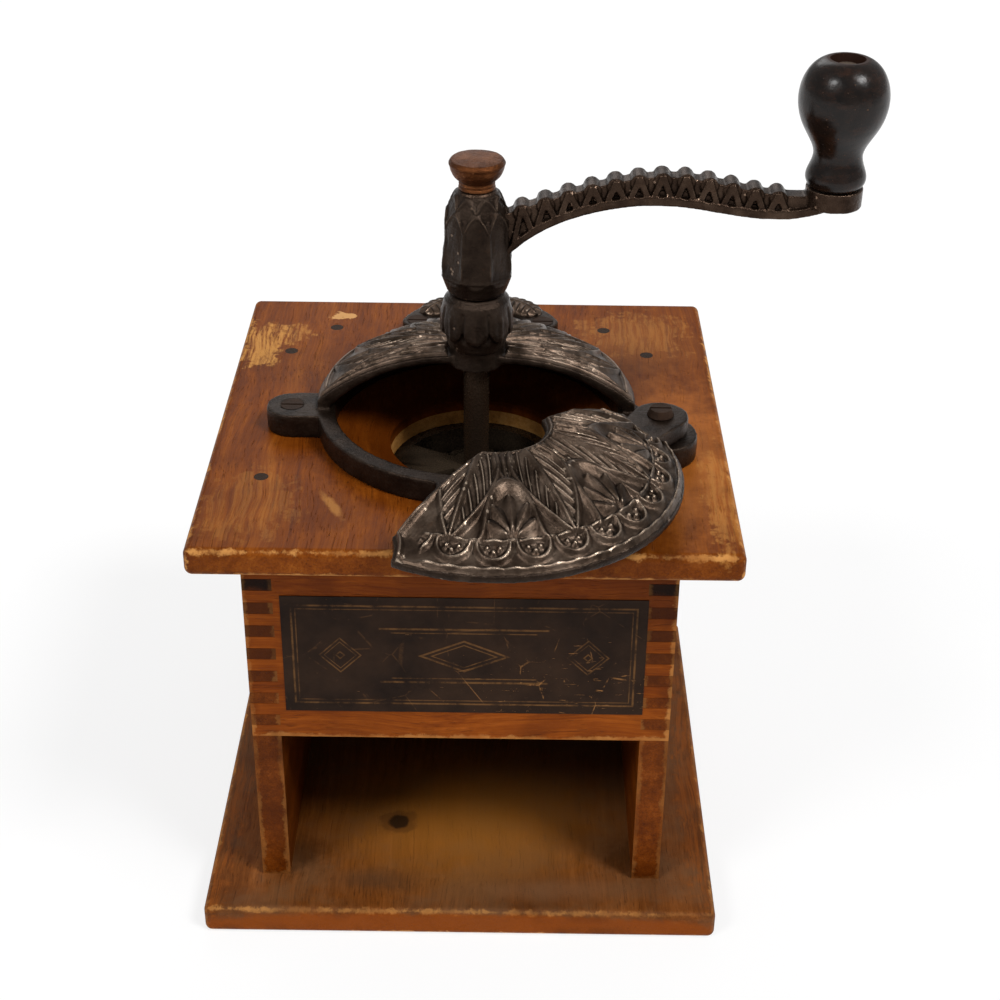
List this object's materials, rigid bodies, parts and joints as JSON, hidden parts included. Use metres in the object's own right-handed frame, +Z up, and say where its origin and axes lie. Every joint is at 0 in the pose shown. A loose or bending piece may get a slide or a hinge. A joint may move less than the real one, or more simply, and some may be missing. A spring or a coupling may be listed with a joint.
{
  "type": "hand crank coffee grinder",
  "caption": "Finger-jointed wooden box coffee mill with an open cast iron hopper, swinging cover, ornate bowed crank with turned knob, and an empty drawer bay below.",
  "frame": {"origin": "centre of the base board's underside", "axes": "+Z up, -Y the front with the label and the drawer bay, +X the side the crank points to at rest"},
  "size_m": [0.2275, 0.2184, 0.2985],
  "materials": {
    "base_wood": "worn, dusty wax",
    "box_wood": "worn shellac",
    "top_wood": "worn shellac",
    "raw_wood": "unfinished",
    "label_paper": "worn printed paper",
    "black_iron": "old black japanning, worn",
    "burr_iron": "bare iron",
    "steel": "tarnished",
    "nut_metal": "rubbed brown",
    "knob_wood": "black gloss paint, chipped"
  },
  "bodies": {
    "frame": {"base_board": "base_wood", "left_side": "box_wood", "right_side": "box_wood", "front_panel": "box_wood", "back_panel": "box_wood", "top_board": "top_wood", "mill_board": "raw_wood", "front_label": "label_paper", "hopper_casting": "black_iron", "cover_rivet": "steel", "hopper_screws": "steel", "top_nails": "steel", "base_screws": "steel", "mill_board_screws": "steel", "burr_housing": "black_iron", "outer_burr": "burr_iron", "burr_screws": "steel"},
    "cover": {"hopper_cover": "black_iron"},
    "crank": {"crank_arm": "black_iron", "knob_spindle": "steel", "knob_washer": "steel"},
    "knob": {"knob": "knob_wood"},
    "nut": {"thumb_nut": "nut_metal"},
    "shaft": {"drive_shaft": "steel", "inner_burr": "burr_iron", "burr_pin": "steel"}
  },
  "joints": [
    {"name": "crank_turn", "type": "hinge", "parent": "frame", "child": "crank", "pos_m": [0.004, -0.01, 0.2173], "axis": [0, 0, 1], "continuous": true},
    {"name": "knob_spin", "type": "hinge", "parent": "crank", "child": "knob", "pos_m": [0.121, -0.01, 0.2564], "axis": [0, 0, 1], "continuous": true},
    {"name": "nut_turn", "type": "hinge", "parent": "crank", "child": "nut", "pos_m": [0.004, -0.01, 0.25395], "axis": [0, 0, 1], "range_deg": [-270, 270]},
    {"name": "burr_lift", "type": "slide", "parent": "crank", "child": "shaft", "axis": [0, 0, 1], "range_m": [-0.00095, 0.00095]},
    {"name": "cover_swing", "type": "hinge", "parent": "frame", "child": "cover", "pos_m": [0.067, -0.0285, 0.174], "axis": [0, 0, 1], "range_deg": [-48, 60]}
  ],
  "couplings": [
    {"joint": "nut_turn", "follows": "burr_lift", "rad_per_m": -4947.4}
  ]
}
